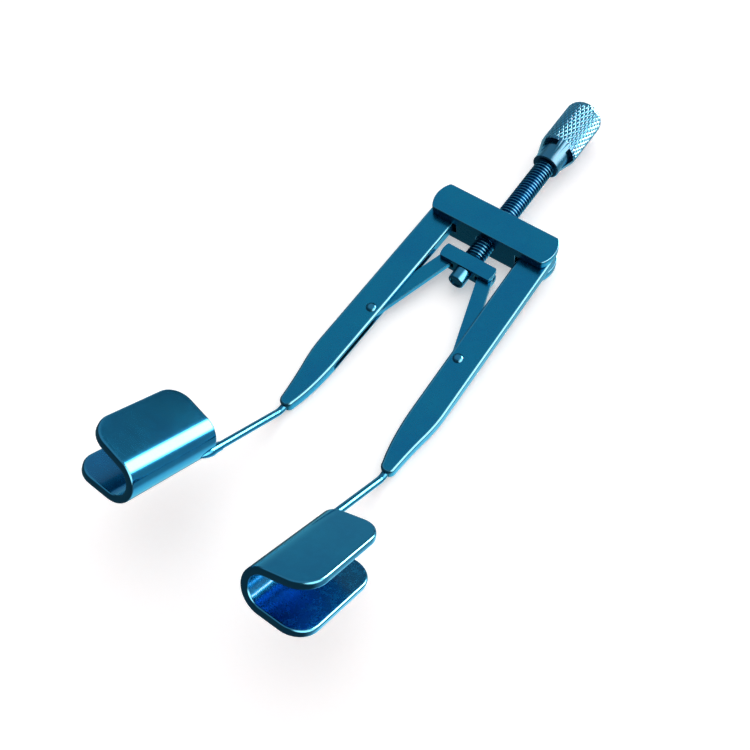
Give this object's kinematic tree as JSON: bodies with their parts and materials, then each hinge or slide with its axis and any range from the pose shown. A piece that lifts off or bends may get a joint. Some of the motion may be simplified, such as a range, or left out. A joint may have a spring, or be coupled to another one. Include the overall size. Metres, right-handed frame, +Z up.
{
  "type": "eye speculum",
  "caption": "Adjustable eye speculum: U-shaped lid blades on bent wire necks, carried by flat arms that a knurled screw spreads through a slider and links.",
  "frame": {"origin": "centre of the crossbar's flat underside", "axes": "+Z up out of the crossbar's top, +Y along the screw toward the knob, +X toward the right arm; the blades lie toward -Y and rise toward +Z"},
  "size_m": [0.0336, 0.0875, 0.024],
  "materials": {
    "crossbar_titanium": "satin anodised titanium, teal blue",
    "left_arm_pivot_pin_titanium": "satin anodised titanium, teal blue",
    "right_arm_pivot_pin_titanium": "satin anodised titanium, teal blue",
    "left_arm_titanium": "satin anodised titanium, teal blue",
    "right_arm_titanium": "satin anodised titanium, teal blue",
    "left_link_arm_rivet_titanium": "satin anodised titanium, teal blue",
    "right_link_arm_rivet_titanium": "satin anodised titanium, teal blue",
    "left_neck_wire_titanium": "satin anodised titanium, teal blue",
    "right_neck_wire_titanium": "satin anodised titanium, teal blue",
    "left_blade_titanium": "satin anodised titanium, teal blue",
    "right_blade_titanium": "satin anodised titanium, teal blue",
    "left_link_titanium": "satin anodised titanium, teal blue",
    "right_link_titanium": "satin anodised titanium, teal blue",
    "left_link_slider_pin_titanium": "satin anodised titanium, teal blue",
    "right_link_slider_pin_titanium": "satin anodised titanium, teal blue",
    "slider_titanium": "satin anodised titanium, teal blue",
    "screw_titanium": "satin anodised titanium, teal blue",
    "end_button_titanium": "satin anodised titanium, teal blue",
    "knob_titanium": "satin anodised titanium, teal blue"
  },
  "bodies": {
    "crossbar": {"crossbar": "crossbar_titanium", "left_arm_pivot_pin": "left_arm_pivot_pin_titanium", "right_arm_pivot_pin": "right_arm_pivot_pin_titanium"},
    "slider": {"slider": "slider_titanium", "left_link_slider_pin": "left_link_slider_pin_titanium", "right_link_slider_pin": "right_link_slider_pin_titanium"},
    "screw": {"screw": "screw_titanium", "end_button": "end_button_titanium", "knob": "knob_titanium"},
    "left_arm": {"left_arm": "left_arm_titanium", "left_link_arm_rivet": "left_link_arm_rivet_titanium", "left_neck_wire": "left_neck_wire_titanium", "left_blade": "left_blade_titanium"},
    "right_arm": {"right_arm": "right_arm_titanium", "right_link_arm_rivet": "right_link_arm_rivet_titanium", "right_neck_wire": "right_neck_wire_titanium", "right_blade": "right_blade_titanium"},
    "left_link": {"left_link": "left_link_titanium"},
    "right_link": {"right_link": "right_link_titanium"}
  },
  "joints": [
    {"name": "slider_travel", "type": "slide", "parent": "crossbar", "child": "slider", "axis": [0, -1, 0], "range_m": [-0.0008, 0.00125]},
    {"name": "screw_spin", "type": "hinge", "parent": "slider", "child": "screw", "pos_m": [0, 0, 0.0025], "axis": [0, -1, 0], "range_deg": [-576, 900]},
    {"name": "left_arm_swing", "type": "hinge", "parent": "crossbar", "child": "left_arm", "pos_m": [-0.00755, 0, 0.0025], "axis": [0, 0, -1], "range_deg": [-6.32, 9.88]},
    {"name": "right_arm_swing", "type": "hinge", "parent": "crossbar", "child": "right_arm", "pos_m": [0.00755, 0, 0.0025], "axis": [0, 0, 1], "range_deg": [-6.32, 9.88]},
    {"name": "left_link_swing", "type": "hinge", "parent": "slider", "child": "left_link", "pos_m": [-0.003, -0.00675, 0.0025], "axis": [0, 0, -1], "range_deg": [-9.66, 15.09]},
    {"name": "right_link_swing", "type": "hinge", "parent": "slider", "child": "right_link", "pos_m": [0.003, -0.00675, 0.0025], "axis": [0, 0, 1], "range_deg": [-9.66, 15.09]}
  ],
  "couplings": [
    {"joint": "right_arm_swing", "follows": "left_arm_swing", "ratio": 1},
    {"joint": "slider_travel", "follows": "left_arm_swing", "m_per_rad": 0.0072444},
    {"joint": "screw_spin", "follows": "left_arm_swing", "ratio": 91.036},
    {"joint": "left_link_swing", "follows": "left_arm_swing", "ratio": 1.5255},
    {"joint": "right_link_swing", "follows": "left_arm_swing", "ratio": 1.5255}
  ]
}
